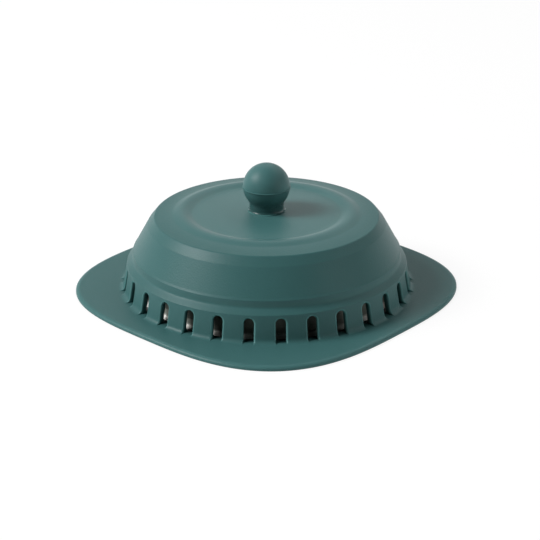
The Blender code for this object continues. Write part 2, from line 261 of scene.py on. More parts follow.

# Painted light along thin edges, where light through the thin silicone is put into the colour:
# ramps into the band round a slot and out of it, how soon it starts over the flange, how far
# up it follows the arch, and the ramp in over the rim as shares of the rim's reach
SLOT_PALE_IN = (-0.1 * MM, 0.05 * MM)
SLOT_PALE_OUT = (0.75 * MM, 0.2 * MM)
SLOT_PALE_RISE = 0.6 * MM
SLOT_PALE_TOP = 10.0 * MM
RIM_PALE_RAMP = (1.1, 0.5)
RIM_PALE_SHARE = 0.19

# Painted shade in the slots: ramp of the depth behind the skirt's outer side, how far it
# reaches under the flange's top, how far it keeps under the skirt's top, and its share
SLOT_DARK_DEPTHS = (0.15 * MM, 1.2 * MM)
SLOT_DARK_FOOT = 0.1 * MM
SLOT_DARK_TOP = 0.2 * MM
SLOT_DARK_SHARE = 0.65

# Painted shade under the knob's parting line: how much is left of the plain colour, how rough
# it is beside the upper half, and how soft the change is there and at the lip of the foot
UNDER_SEAM_SHARE = 0.66
UNDER_SEAM_ROUGHNESS = 0.55
SEAM_FADE = 0.1 * MM
LIP_FADE = 0.25 * MM

# Steel of the liner and of the screw and washer: colour, roughness and its spread, how many
# marks lie in a metre, its grain, and what is left of the colour in its smudges
STEEL_BRIGHT = (0.62, 0.62, 0.585)
STEEL_PLAIN = (0.6, 0.59, 0.57)
LINER_ROUGHNESS = 0.56
SCREW_ROUGHNESS = 0.32
ROUGHNESS_SHARES = (0.7, 1.3)
LINER_MARKS = 2600.0
SCREW_MARKS = 1800.0
STEEL_GRAIN = (0.12, 0.03 * MM)
SMUDGE_SHARE = 0.92
SMUDGE_SCALE = 70.0

# Painted shade on the liner wall's outer side: its colour, the ramp through the wall as shares of
# its thickness, the ramp of how far it runs down over the foot, and the fade under its shoulder
STEEL_PAINTED_SHADE = (0.185, 0.205, 0.18)
WALL_SHADE_THROUGH = (0.7, 0.4)
WALL_SHADE_START = (2.0 * MM, 1.1 * MM)
WALL_SHADE_FADE = 2.0 * MM

# Nylon of the knob's core
NYLON = (0.012, 0.013, 0.013)
NYLON_PALE = (0.022, 0.023, 0.023)
NYLON_ROUGHNESS = 0.5
SPECKLE_SCALE = 900.0
NYLON_GRAIN = (0.2, 0.05 * MM)

# Directions as the camera sees the scene, and the factors that keep what is level
TO_FRONT = Vector((math.sin(CAMERA_AZIMUTH), -math.cos(CAMERA_AZIMUTH), 0.0))
TO_RIGHT = Vector((math.cos(CAMERA_AZIMUTH), math.sin(CAMERA_AZIMUTH), 0.0))
UP = Vector((0.0, 0.0, 1.0))
LEVEL = (1.0, 1.0, 0.0)

# What follows from the sizes above: the top of the skirt's straight side, the foot fillet's
# centre, ends and turn, and the height of the knob's seam
HALF_PITCH = math.pi / SLOT_COUNT
SKIRT_END = SKIRT_TOP[1] - SKIRT_TOP[2]
SKIRT_LEAN = math.atan2(SKIRT_DRAFT, SKIRT_HEIGHT)
FILLET_TURN = QUARTER - SKIRT_LEAN
FILLET_RADIUS = SKIRT_FOOT_RADIUS + FOOT_FILLET * math.tan(FILLET_TURN / 2)
FILLET_HEIGHT = FLANGE_THICK + FOOT_FILLET
FILLET_END = FILLET_HEIGHT - FOOT_FILLET * math.cos(FILLET_TURN)
KNOB_SEAM = BALL_HEIGHT - PARTING_DROP

SlotRow = namedtuple("SlotRow", "across height outward far_angle far_outside far_inside")


def lerp(a, b, share):
    """Value or point between two others."""
    return a + (b - a) * share


def direction(azimuth):
    """Level direction; azimuth 0 is towards the camera and runs to its right."""
    azimuth = math.radians(azimuth)
    return TO_FRONT * math.cos(azimuth) + TO_RIGHT * math.sin(azimuth)


def quarter_turn(steps, first=0):
    """Cosine and sine of each step of a quarter turn."""
    turns = (QUARTER * i / steps for i in range(first, steps + 1))
    return [(math.cos(turn), math.sin(turn)) for turn in turns]


def skirt_outside(height):
    """Radius of the skirt's outer side at a height, and its normal as (outward, up)."""
    if height < FILLET_END:
        drop = FILLET_HEIGHT - height
        run = math.sqrt(max(0.0, FOOT_FILLET ** 2 - drop ** 2))
        return FILLET_RADIUS - run, (run / FOOT_FILLET, drop / FOOT_FILLET)
    radius = SKIRT_FOOT_RADIUS - SKIRT_DRAFT * (height - FLANGE_THICK) / SKIRT_HEIGHT
    return radius, (math.cos(SKIRT_LEAN), math.sin(SKIRT_LEAN))


def skirt_inside(height):
    """Radius of the skirt's inner side at a height, and its normal as (outward, up)."""
    share = (height - CAVITY_FOOT[1]) / (CAVITY_WAIST[1] - CAVITY_FOOT[1])
    radius = lerp(CAVITY_FOOT[0], CAVITY_WAIST[0], share)
    return radius, (-math.cos(SKIRT_LEAN), -math.sin(SKIRT_LEAN))


def flange_reach(angle, half):
    """Distance from the axis to the flange's side at an angle."""
    c, s = abs(math.cos(angle)), abs(math.sin(angle))
    return half / (c ** FLANGE_POWER + s ** FLANGE_POWER) ** (1 / FLANGE_POWER)


def rounded_outline(corners):
    """Outline through (radius, height, rounding) corners, with arcs and their support points."""
    points = [corners[0][:2]]
    for before, corner, after in zip(corners, corners[1:], corners[2:]):
        here = Vector(corner[:2])
        back, ahead = Vector(before[:2]) - here, Vector(after[:2]) - here
        half = back.angle(ahead) / 2
        turn = math.pi - 2 * half
        if corner[2] == 0.0 or turn < ARC_STEP / 2:
            points.append(tuple(here))
            continue
        reach = corner[2] / math.tan(half)
        back.normalize()
        ahead.normalize()
        centre = here + (back + ahead).normalized() * corner[2] / math.sin(half)
        spoke = here + back * reach - centre
        side = 1 if back.cross(ahead) < 0 else -1
        steps = max(3, math.ceil(turn / ARC_STEP))
        points.append(tuple(here + back * reach * ARC_SUPPORT))
        for i in range(steps + 1):
            angle = side * turn * i / steps
            c, s = math.cos(angle), math.sin(angle)
            points.append((centre.x + spoke.x * c - spoke.y * s,
                           centre.y + spoke.x * s + spoke.y * c))
        points.append(tuple(here + ahead * reach * ARC_SUPPORT))
    points.append(corners[-1][:2])
    return points


def slot_rows():
    """Rows up one side of a slot, from its sill to the top of its arch.

    A row starts at the slot's edge, which lies so far across from the slot's middle and at
    such a height, with the way out of the slot as (across, up). It runs to a far point, whose
    angle and heights on the skirt's outer and inner side it also holds.
    """
    heights = [FILLET_HEIGHT - FOOT_FILLET * math.cos(FILLET_TURN * i / FILLET_ROWS)
               for i in range(FILLET_ROWS)]
    heights += [lerp(FILLET_END, SLOT_SPRING, i / STRAIGHT_ROWS)
                for i in range(STRAIGHT_ROWS + 1)]
    rows = [SlotRow(SLOT_HALF_WIDTH, height, (1.0, 0.0), HALF_PITCH, height, height)
            for height in heights]
    for i, (c, s) in enumerate(quarter_turn(ARCH_ROWS, 1)):
        far_angle = HALF_PITCH * (ARCH_ROWS - 1 - i) / (ARCH_ROWS - 1)
        rows.append(SlotRow(SLOT_HALF_WIDTH * c, SLOT_SPRING + SLOT_HALF_WIDTH * s, (c, s),
                            far_angle, SKIRT_END, CAVITY_WAIST[1]))
    return rows


def slot_edge(row, turn, side):
    """Point on a slot's rounded edge: turn 0 is on the skirt's side, a quarter in the slot."""
    out_u, out_z = row.outward
    widest = SLOT_EDGE_ROUND if side is skirt_outside else SLOT_INNER_ROUND
    round_size = min(widest, SLOT_EDGE_FADE * (row.height - FLANGE_THICK))
    if out_z:
        room = SKIRT_END - row.height
        round_size = min(round_size, SLOT_ARCH_FADE * room / out_z)
    out = round_size * (1 - math.sin(turn))
    deep = round_size * (1 - math.cos(turn))
    u, z = row.across + out_u * out, row.height + out_z * out
    radius, (normal_r, normal_z) = side(z)
    return Vector((math.sqrt(radius ** 2 - u ** 2) - normal_r * deep, u, z - normal_z * deep))


def skirt_face(row, share, side, far_height):
    """Point on the skirt's side between the row's far point and the slot's edge."""
    edge = slot_edge(row, 0.0, side)
    angle = lerp(row.far_angle, math.atan2(edge.y, edge.x), share)
    z = lerp(far_height, edge.z, share)
    radius = side(z)[0]
    return Vector((radius * math.cos(angle), radius * math.sin(angle), z))


def panel_columns():
    """Functions that give a row's points, from the outer side through the slot's wall inwards."""
    columns = [lambda row, s=s: skirt_face(row, s, skirt_outside, row.far_outside)
               for s in OUTER_SHARES]
    columns += [lambda row, i=i: slot_edge(row, QUARTER * i / EDGE_STEPS, skirt_outside)
                for i in range(1, EDGE_STEPS + 1)]
    columns += [lambda row, i=i: lerp(slot_edge(row, QUARTER, skirt_outside),
                                      slot_edge(row, QUARTER, skirt_inside), i / WALL_STEPS)
                for i in range(1, WALL_STEPS)]
    columns += [lambda row, i=i: slot_edge(row, QUARTER * (1 - i / INNER_EDGE_STEPS),
                                           skirt_inside) for i in range(INNER_EDGE_STEPS + 1)]
    columns += [lambda row, s=s: skirt_face(row, 1 - s, skirt_inside, row.far_inside)
                for s in INNER_SHARES[1:]]
    return columns


def bent_grid(bm, across, along, place):
    """Grid of faces whose corners are put where place(column, row) says."""
    verts = bmesh.ops.create_grid(bm, x_segments=across, y_segments=along, size=1.0)["verts"]
    for vert in verts:
        column = round((vert.co.x + 1) / 2 * across)
        row = round((vert.co.y + 1) / 2 * along)
        vert.co = place(column, row)


def make_slotted_skirt(bm):
    """The whole skirt: half a slot and half a pillar, mirrored and spun round the axis."""
    rows, columns = slot_rows(), panel_columns()
    bent_grid(bm, len(columns) - 1, len(rows) - 1, lambda j, i: columns[j](rows[i]))
    outer = slot_edge(rows[0], QUARTER, skirt_outside).xy.length
    inner = slot_edge(rows[0], QUARTER, skirt_inside).xy.length

    def sill_point(column, row):
        u = SLOT_HALF_WIDTH * (1 - row / SILL_STEPS)
        near, far = math.sqrt(outer ** 2 - u ** 2), math.sqrt(inner ** 2 - u ** 2)
        return Vector((lerp(near, far, column / WALL_STEPS), u, FLANGE_THICK))

    bent_grid(bm, WALL_STEPS, SILL_STEPS, sill_point)
    bmesh.ops.remove_doubles(bm, verts=bm.verts, dist=MERGE)
    everything = bm.verts[:] + bm.edges[:] + bm.faces[:]
    bmesh.ops.mirror(bm, geom=everything, axis="Y", merge_dist=MERGE)
    bmesh.ops.rotate(bm, verts=bm.verts, cent=(0, 0, 0),
                     matrix=Matrix.Rotation(HALF_PITCH + SLOT_TURN, 3, "Z"))
    everything = bm.verts[:] + bm.edges[:] + bm.faces[:]
    bmesh.ops.spin(bm, geom=everything, cent=(0, 0, 0), axis=(0, 0, 1), steps=SLOT_COUNT - 1,
                   angle=math.tau * (SLOT_COUNT - 1) / SLOT_COUNT, use_duplicate=True)
    bmesh.ops.remove_doubles(bm, verts=bm.verts, dist=MERGE)


def open_loop(bm, radius, height):
    """Open edges of a mesh that lie round the axis at about a radius and a height."""
    def near(vert):
        return abs(vert.co.xy.length - radius) < MM / 2 and abs(vert.co.z - height) < MM / 20
    return [e for e in bm.edges if e.is_boundary and near(e.verts[0]) and near(e.verts[1])]


def grow(bm, loop, place):
    """Extrudes a loop and puts each new vertex at the (radius, height) of its angle."""
    grown = bmesh.ops.extrude_edge_only(bm, edges=loop)["geom"]
    for vert in (v for v in grown if isinstance(v, bmesh.types.BMVert)):
        angle = math.atan2(vert.co.y, vert.co.x)
        radius, height = place(angle)
        vert.co = (radius * math.cos(angle), radius * math.sin(angle), height)
    return [e for e in grown if isinstance(e, bmesh.types.BMEdge)]


def rim_profile():
    """The flange's rim as (inset, height): its round top, a fine line and its lower edge."""
    profile = [(RIM_REACH * (1 - s), FLANGE_THICK - RIM_ROUND * (1 - c))
               for c, s in quarter_turn(RIM_STEPS)[:-1]]
    profile += [(RIM_FLASH, FLANGE_THICK - RIM_ROUND), (RIM_FLASH, RIM_SEAM + RIM_FLASH * 2),
                (0.0, RIM_SEAM + RIM_FLASH), (0.0, RIM_SEAM),
                (RIM_FLASH, RIM_SEAM - RIM_FLASH)]
    profile += [(RIM_FLASH + RIM_UNDER_ROUND * (1 - c), RIM_UNDER_ROUND * (1 - s))
                for c, s in quarter_turn(RIM_UNDER_STEPS, 1)]
    return profile


def grow_flange(bm):
    """Flange: over its top, round its rim, and back under it to the skirt's inner foot."""
    loop = open_loop(bm, FILLET_RADIUS, FLANGE_THICK)
    rings = [(share, FLANGE_FLAT_INSET, FLANGE_THICK) for share in FLANGE_SHARES]
    rings += [(1.0, inset, height) for inset, height in rim_profile()]
    rings += [(share, RIM_UNDER_ROUND * 2, 0.0) for share in UNDERSIDE_SHARES]
    for share, inset, height in rings:
        loop = grow(bm, loop, lambda angle: (
            lerp(FILLET_RADIUS, flange_reach(angle, FLANGE_HALF - inset), share), height))
    for radius, height in ((CAVITY_FOOT[0] + RIM_UNDER_ROUND, 0.0),
                           (CAVITY_FOOT[0], RIM_UNDER_ROUND)):
        loop = grow(bm, loop, lambda angle: (radius, height))
    inner = open_loop(bm, skirt_inside(FLANGE_THICK)[0], FLANGE_THICK)
    bmesh.ops.bridge_loops(bm, edges=loop + inner)


def ridge_profile():
    """The low round ridge on the top, from its outer foot to its inner foot."""
    return [(lerp(RIDGE_OUTER[0], RIDGE_INNER[0], i / RIDGE_STEPS),
             RIDGE_OUTER[1] + RIDGE_RISE
             * max(0.0, math.sin(math.pi * i / RIDGE_STEPS)) ** RIDGE_SHARPNESS)
            for i in range(RIDGE_STEPS + 1)]


def disc_height(radius):
    """Height of the crowned disc inside the ridge."""
    return RIDGE_INNER[1] + DISC_CROWN * (1 - (radius / RIDGE_INNER[0]) ** 2)


def grow_dome(bm):
    """Dome: up its bands, over the ridge and disc to the hole, and back down its inner side."""
    skirt_radius = skirt_outside(SKIRT_END)[0]
    loop = open_loop(bm, skirt_radius, SKIRT_END)
    outside = rounded_outline([(skirt_radius, SKIRT_END, 0.0), SKIRT_TOP] + DOME_BANDS
                              + [(*RIDGE_OUTER, 0.0)])[2:-1]
    disc_radii = [lerp(RIDGE_INNER[0], DOME_HOLE, i / DISC_STEPS)
                  for i in range(1, DISC_STEPS + 1)]
    disc = [(radius, disc_height(radius)) for radius in disc_radii]
    inside = rounded_outline([(DOME_HOLE + HOLE_FLARE, CEILING, 0.0)] + CAVITY_BANDS
                             + [(*CAVITY_WAIST, 0.0)])
    for radius, height in outside + ridge_profile() + disc + inside:
        loop = grow(bm, loop, lambda angle: (radius, height))


def mesh_object(name, bm, material):
    """Object in the scene, made of a mesh with one material."""
    mesh = bpy.data.meshes.new(name)
    bm.to_mesh(mesh)
    bm.free()
    mesh.materials.append(material)
    made = bpy.data.objects.new(name, mesh)
    bpy.context.scene.collection.objects.link(made)
    return made


def finish_piece(name, bm, body, node, material):
    """Closes up a mesh, shades it, gives it its body and material, and hides the CAD node it
    replaces.
    """
    bmesh.ops.remove_doubles(bm, verts=bm.verts, dist=MERGE)
    bmesh.ops.recalc_face_normals(bm, faces=bm.faces)
    piece = mesh_object(name, bm, material)
    piece.data.shade_smooth()
    piece.data.set_sharp_from_angle(angle=SHARP_ANGLE)
    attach(piece, body)
    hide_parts(node)


def turned(profile, segments, closed):
    """Mesh turned about Z from a (radius, height) outline."""
    bm = bmesh.new()
    verts = [bm.verts.new((r, 0.0, z)) for r, z in profile]
    edges = [bm.edges.new(pair) for pair in zip(verts, verts[1:])]
    if closed:
        edges.append(bm.edges.new((verts[-1], verts[0])))
    bmesh.ops.spin(bm, geom=verts + edges, cent=(0, 0, 0), axis=(0, 0, 1), angle=math.tau,
                   steps=segments, use_merge=True)
    bmesh.ops.remove_doubles(bm, verts=bm.verts, dist=MERGE)
    return bm


def make_cover_moulding(material):
    """Dome, slotted skirt and flange in one closed moulding."""
    bm = bmesh.new()
    make_slotted_skirt(bm)
    grow_flange(bm)
    grow_dome(bm)
    finish_piece("cover_moulding", bm, "cover", "cover_shell", material)


def ball_points(start, end, steps):
    """Arc of the ball's side between two latitudes."""
    latitudes = [lerp(start, end, i / steps) for i in range(steps + 1)]
    return [(BALL_RADIUS * math.cos(latitude), BALL_HEIGHT + BALL_RADIUS * math.sin(latitude))
            for latitude in latitudes]


def lift_foot_lip(bm):
    """Lifts the edge of the knob's foot a little off the disc on one side."""
    lifted_side = direction(LIP_LIFT_AZIMUTH).xy
    for vert in bm.verts:
        radius = vert.co.xy.length
        if radius > NECK_RADIUS and vert.co.z < FOOT_LIP + LIP_LIFT_HEIGHT:
            facing = max(0.0, lifted_side.dot(vert.co.xy.normalized()))
            share = (radius - NECK_RADIUS) / (FOOT_RADIUS - NECK_RADIUS)
            vert.co.z += LIP_LIFT * share * facing ** LIP_LIFT_POWER


def make_knob_skin(material):
    """Ball, parting line, neck and flared foot of the knob, with its open bore below."""
    seam_latitude = -math.asin(PARTING_DROP / BALL_RADIUS)
    upper = ball_points(QUARTER, seam_latitude + PARTING_CLEAR_ABOVE, BALL_UPPER_STEPS)
    upper[0] = (0.0, BALL_HEIGHT + BALL_RADIUS)
    seam = [(BALL_RADIUS + out, KNOB_SEAM + up) for out, up in PARTING_LINE]
    meets = -math.acos((NECK_RADIUS + NECK_MEETS_BALL) / BALL_RADIUS)
    lower = ball_points(seam_latitude - PARTING_CLEAR_BELOW, meets, BALL_LOWER_STEPS)
    neck_start = lower.pop()
    neck = rounded_outline([(*neck_start, 0.0),
                            (NECK_RADIUS, neck_start[1] - NECK_TOP_DROP, NECK_TOP_ROUND),
                            (NECK_RADIUS, FOOT_TOP, NECK_FOOT_ROUND),
                            (FOOT_RADIUS, FOOT_LIP, FOOT_LIP_ROUND),
                            (FOOT_RADIUS, disc_height(FOOT_RADIUS) + CONTACT_GAP, 0.0),
                            (KNOB_BORE, disc_height(KNOB_BORE) + CONTACT_GAP, 0.0)])
    bore = [(KNOB_BORE, KNOB_BORE_TOP), (0.0, KNOB_BORE_TOP)]
    bm = turned(upper + seam + lower + neck + bore, KNOB_SEGMENTS, False)
    lift_foot_lip(bm)
    finish_piece("knob_skin", bm, "cover", "ball_knob", material)


def make_steel_liner(material):
    """Drawn steel bowl, upside down, that widens to a sloping foot over the floor."""
    outer = rounded_outline(LINER_BANDS)
    inner = []
    for i, here in enumerate(outer):
        before, after = Vector(outer[max(i - 1, 0)]), Vector(outer[min(i + 1, len(outer) - 1)])
        along = (after - before).normalized()
        inner.append((here[0] + along.y * STEEL_THICK, here[1] - along.x * STEEL_THICK))
    bm = turned(outer + inner[::-1], LINER_SEGMENTS, True)
    finish_piece("steel_liner", bm, "shell", "steel_shell", material)


def make_washer(material):
    """Washer under the dome, with its outer edges broken."""
    outline = [(WASHER_BORE, WASHER_TOP), (WASHER_RADIUS - WASHER_EDGE, WASHER_TOP),
               (WASHER_RADIUS, WASHER_TOP - WASHER_EDGE),
               (WASHER_RADIUS, WASHER_UNDER + WASHER_EDGE),
               (WASHER_RADIUS - WASHER_EDGE, WASHER_UNDER), (WASHER_BORE, WASHER_UNDER)]
    bm = turned(outline, WASHER_SEGMENTS, True)
    finish_piece("clamp_washer", bm, "cover", "knob_washer", material)


def make_screw(material):
    """Shank and button head with a hexagon socket in its underside."""
    shoulder = SCREW_SEAT - SCREW_HEAD_EDGE
    outline = [(0.0, SCREW_TIP), (SCREW_SHANK - SCREW_TIP_CHAMFER, SCREW_TIP),
               (SCREW_SHANK, SCREW_TIP - SCREW_TIP_CHAMFER), (SCREW_SHANK, SCREW_SEAT),
               (SCREW_HEAD_RADIUS - SCREW_HEAD_EDGE, SCREW_SEAT), (SCREW_HEAD_RADIUS, shoulder)]
    outline += [(lerp(SOCKET_LAND, SCREW_HEAD_RADIUS, c),
                 shoulder - (SCREW_HEAD_HEIGHT - SCREW_HEAD_EDGE) * s)
                for c, s in quarter_turn(SCREW_HEAD_STEPS, 1)]
    bm = turned(outline, SCREW_SEGMENTS, False)
    rim = [e for e in bm.edges if e.is_boundary]
    under = Matrix.Translation((0, 0, SCREW_SEAT - SCREW_HEAD_HEIGHT))
    bmesh.ops.create_circle(bm, segments=6, radius=SOCKET_RADIUS, matrix=under)
    hexagon = [e for e in bm.edges if e.is_wire]
    bmesh.ops.bridge_loops(bm, edges=rim + hexagon)
    grown = bmesh.ops.extrude_edge_only(bm, edges=hexagon)["geom"]
    deep = [v for v in grown if isinstance(v, bmesh.types.BMVert)]
    bmesh.ops.translate(bm, verts=deep, vec=(0, 0, SOCKET_DEPTH))
    bmesh.ops.contextual_create(bm, geom=deep)
    finish_piece("clamp_screw", bm, "cover", "knob_screw", material)


def node(tree, kind, at, **values):
    """A shader node at a place on the sheet, with its properties set."""
    made = tree.nodes.new(kind)
    made.location = at
    for name, value in values.items():
        setattr(made, name, value)
    return made


def feed(tree, socket, value):
    """Links a socket to another node's output, or sets its own colour, vector or number."""
    if isinstance(value, bpy.types.NodeSocket):
        tree.links.new(value, socket)
    elif socket.type == "RGBA":
        socket.default_value = (*value, 1.0)
    else:
        socket.default_value = value


def maths(tree, operation, at, *values):
    """Result of a maths node, whose inputs are links or numbers."""
    made = node(tree, "ShaderNodeMath", at, operation=operation)
    for socket, value in zip(made.inputs, values):
        feed(tree, socket, value)
    return made.outputs[0]


def times(tree, first, second, at):
    """Product of two values."""
    return maths(tree, "MULTIPLY", at, first, second)


def highest(tree, first, second, at):
    """The greater of two values."""
    return maths(tree, "MAXIMUM", at, first, second)


def vector_maths(tree, operation, at, *values, **labels):
    """Vector maths node, whose inputs are links or fixed vectors."""
    made = node(tree, "ShaderNodeVectorMath", at, operation=operation, **labels)
    for socket, value in zip(made.inputs, values):
        feed(tree, socket, value)
    return made.outputs


def scaled(tree, value, source, target, at):
    """Value taken straight from one range to another, and held at its ends."""
    made = node(tree, "ShaderNodeMapRange", at)
    for name, end in zip(("From Min", "From Max", "To Min", "To Max"), (*source, *target)):
        made.inputs[name].default_value = end
    tree.links.new(value, made.inputs["Value"])
    return made.outputs["Result"]


def ramp(tree, value, start, end, at):
    """Smooth step of a value from 0 at the start to 1 at the end."""
    made = node(tree, "ShaderNodeMapRange", at, interpolation_type="SMOOTHSTEP")
    made.inputs["From Min"].default_value = start
    made.inputs["From Max"].default_value = end
    tree.links.new(value, made.inputs["Value"])
    return made.outputs["Result"]


def blended(tree, share, first, second, at):
    """Colour that goes from the first to the second as the share goes from 0 to 1."""
    made = node(tree, "ShaderNodeMix", at, data_type="RGBA")
    for name, value in (("Factor", share), ("A", first), ("B", second)):
        feed(tree, made.inputs[name], value)
    return made.outputs["Result"]


def noise(tree, point, scale, at, detail=2.0):
    """Cloudy pattern between 0 and 1."""
    made = node(tree, "ShaderNodeTexNoise", at)
    made.inputs["Scale"].default_value = scale
    made.inputs["Detail"].default_value = detail
    tree.links.new(point, made.inputs["Vector"])
    return made.outputs["Fac"]


def object_point(tree, at):
    """The point that is shaded, in the part's own frame."""
    return node(tree, "ShaderNodeTexCoord", at).outputs["Object"]


def split_axes(tree, point, at):
    """X, Y and Z of a point."""
    made = node(tree, "ShaderNodeSeparateXYZ", at)
    tree.links.new(point, made.inputs["Vector"])
    return made.outputs


def radius_about_axis(tree, point, at):
    """Distance of a point from the part's axis."""
    flat = vector_maths(tree, "MULTIPLY", at, point, LEVEL)["Vector"]
    return vector_maths(tree, "LENGTH", (at[0] + 200, at[1]), flat)["Value"]


def background_rays(tree, at):
    """1 for the rays that show the background: the camera's, glossy and transmitted ones."""
    path = node(tree, "ShaderNodeLightPath", at).outputs
    first = highest(tree, path["Is Camera Ray"], path["Is Glossy Ray"], (at[0] + 200, at[1]))
    return highest(tree, first, path["Is Transmission Ray"], (at[0] + 400, at[1]))


def new_material(name):
    """A material, its nodes and its Principled shader."""
    material = bpy.data.materials.new(name)
    material.use_nodes = True
    tree = material.node_tree
    return material, tree, tree.nodes["Principled BSDF"]


def finish_surface(tree, shader, values, height, relief):
    """Feeds the shader, and bumps its surface by a height with a (strength, depth)."""
    for name, value in values.items():
        feed(tree, shader.inputs[name], value)
    bump = node(tree, "ShaderNodeBump", (-200, -300))
    for name, value in (("Strength", relief[0]), ("Distance", relief[1]), ("Height", height)):
        feed(tree, bump.inputs[name], value)
    tree.links.new(bump.outputs["Normal"], shader.inputs["Normal"])


def moulded_group():
    """Fine grain and faint mottling of moulded silicone, as colour, roughness and height."""
    group = bpy.data.node_groups.new("moulded_skin", "ShaderNodeTree")
    for name, kind, value in (("Colour", "NodeSocketColor", (*SILICONE, 1.0)),
                              ("Pale Colour", "NodeSocketColor", (*SILICONE_PALE, 1.0)),
                              ("Roughness", "NodeSocketFloat", COVER_ROUGHNESS),
                              ("Roughness Spread", "NodeSocketFloat", ROUGHNESS_SPREAD)):
        socket = group.interface.new_socket(name, in_out="INPUT", socket_type=kind)
        socket.default_value = value
    for name, kind in (("Colour", "NodeSocketColor"), ("Roughness", "NodeSocketFloat"),
                       ("Height", "NodeSocketFloat")):
        group.interface.new_socket(name, in_out="OUTPUT", socket_type=kind)
    inputs = node(group, "NodeGroupInput", (-900, 0))
    outputs = node(group, "NodeGroupOutput", (500, 0))
    point = object_point(group, (-900, -300))
    clouds = noise(group, point, MOTTLE_SCALE, (-650, 150), detail=3.0)
    mottle = scaled(group, clouds, MOTTLE_RANGE, (0.0, 1.0), (-400, 150))
    colour = blended(group, mottle, inputs.outputs["Colour"], inputs.outputs["Pale Colour"],
                     (-150, 200))
    grain = noise(group, point, GRAIN_SCALE, (-650, -150))
    roughness = maths(group, "MULTIPLY_ADD", (-150, -50),
                      maths(group, "SUBTRACT", (-400, -50), grain, 0.5),
                      inputs.outputs["Roughness Spread"], inputs.outputs["Roughness"])
    pits = node(group, "ShaderNodeTexVoronoi", (-650, -450))
    pits.inputs["Scale"].default_value = PIT_SCALE
    group.links.new(point, pits.inputs["Vector"])
    height = maths(group, "MULTIPLY_ADD", (-150, -300), pits.outputs["Distance"], PIT_SHARE,
                   grain)
    for name, value in (("Colour", colour), ("Roughness", roughness), ("Height", height)):
        group.links.new(value, outputs.inputs[name])
    return group


def moulded_skin(tree, group, colour, pale, roughness):
    """Outputs of the moulded skin in a material, with the material's own values."""
    skin = node(tree, "ShaderNodeGroup", (-500, 0), node_tree=group)
    for name, value in (("Colour", colour), ("Pale Colour", pale), ("Roughness", roughness),
                        ("Roughness Spread", ROUGHNESS_SPREAD)):
        feed(tree, skin.inputs[name], value)
    return skin.outputs


def painted_slot_edge_light(tree, axes, radius):
    """1 in a band round each slot, where light through the thin silicone is painted into the
    colour.
    """
    angle = maths(tree, "ARCTAN2", (-2300, -900), axes["Y"], axes["X"])
    turned_back = maths(tree, "SUBTRACT", (-2100, -900), angle, HALF_PITCH + SLOT_TURN)
    off_slot = maths(tree, "PINGPONG", (-1900, -900), turned_back, HALF_PITCH)
    offset = node(tree, "ShaderNodeCombineXYZ", (-1500, -900))
    tree.links.new(times(tree, radius, off_slot, (-1700, -900)), offset.inputs["X"])
    tree.links.new(scaled(tree, axes["Z"], (SLOT_SPRING, SLOT_SPRING + SLOT_PALE_TOP),
                          (0.0, SLOT_PALE_TOP), (-1900, -1200)), offset.inputs["Y"])
    off = vector_maths(tree, "LENGTH", (-1300, -900), offset.outputs["Vector"])["Value"]
    inner, outer = ([SLOT_HALF_WIDTH + reach for reach in ends]
                    for ends in (SLOT_PALE_IN, SLOT_PALE_OUT))
    band = times(tree, ramp(tree, off, *inner, (-1100, -900)),
                 ramp(tree, off, *outer, (-1100, -1150)), (-900, -900))
    standing = ramp(tree, axes["Z"], FLANGE_THICK, FLANGE_THICK + SLOT_PALE_RISE,
                    (-1100, -1400))
    return times(tree, band, standing, (-700, -1000))


def painted_rim_light(tree, point):
    """1 along the flange's rim, where light through the thin silicone is painted into the colour.
    """
    sizes = vector_maths(tree, "ABSOLUTE", (-2300, -1700), point)["Vector"]
    axes = split_axes(tree, sizes, (-2100, -1700))
    powers = [maths(tree, "POWER", (-1850, low),
                    maths(tree, "DIVIDE", (-2000, low), axes[axis], FLANGE_HALF), FLANGE_POWER)
              for axis, low in (("X", -1700), ("Y", -1900))]
    total = maths(tree, "ADD", (-1700, -1700), *powers)
    ends = [(1 - share * RIM_REACH / FLANGE_HALF) ** FLANGE_POWER for share in RIM_PALE_RAMP]
    return ramp(tree, total, *ends, (-1100, -1700))


def painted_slot_shade(tree, height, radius):
    """1 in the slots behind the skirt's outer side, where shade is painted into the silicone's
    colour.
    """
    lean = SKIRT_DRAFT / SKIRT_HEIGHT
    across = maths(tree, "MULTIPLY_ADD", (-2300, 900), height, lean, radius)
    side = SKIRT_FOOT_RADIUS + lean * FLANGE_THICK
    deep = ramp(tree, across, *(side - depth for depth in SLOT_DARK_DEPTHS), (-2100, 900))
    standing = ramp(tree, height, FLANGE_THICK - SLOT_DARK_FOOT, FLANGE_THICK, (-2100, 1150))
    under_top = ramp(tree, height, SKIRT_TOP[1] - SLOT_DARK_TOP, SKIRT_END - SLOT_DARK_TOP,
                     (-2100, 1400))
    return times(tree, times(tree, deep, standing, (-1900, 1000)), under_top, (-1700, 1100))


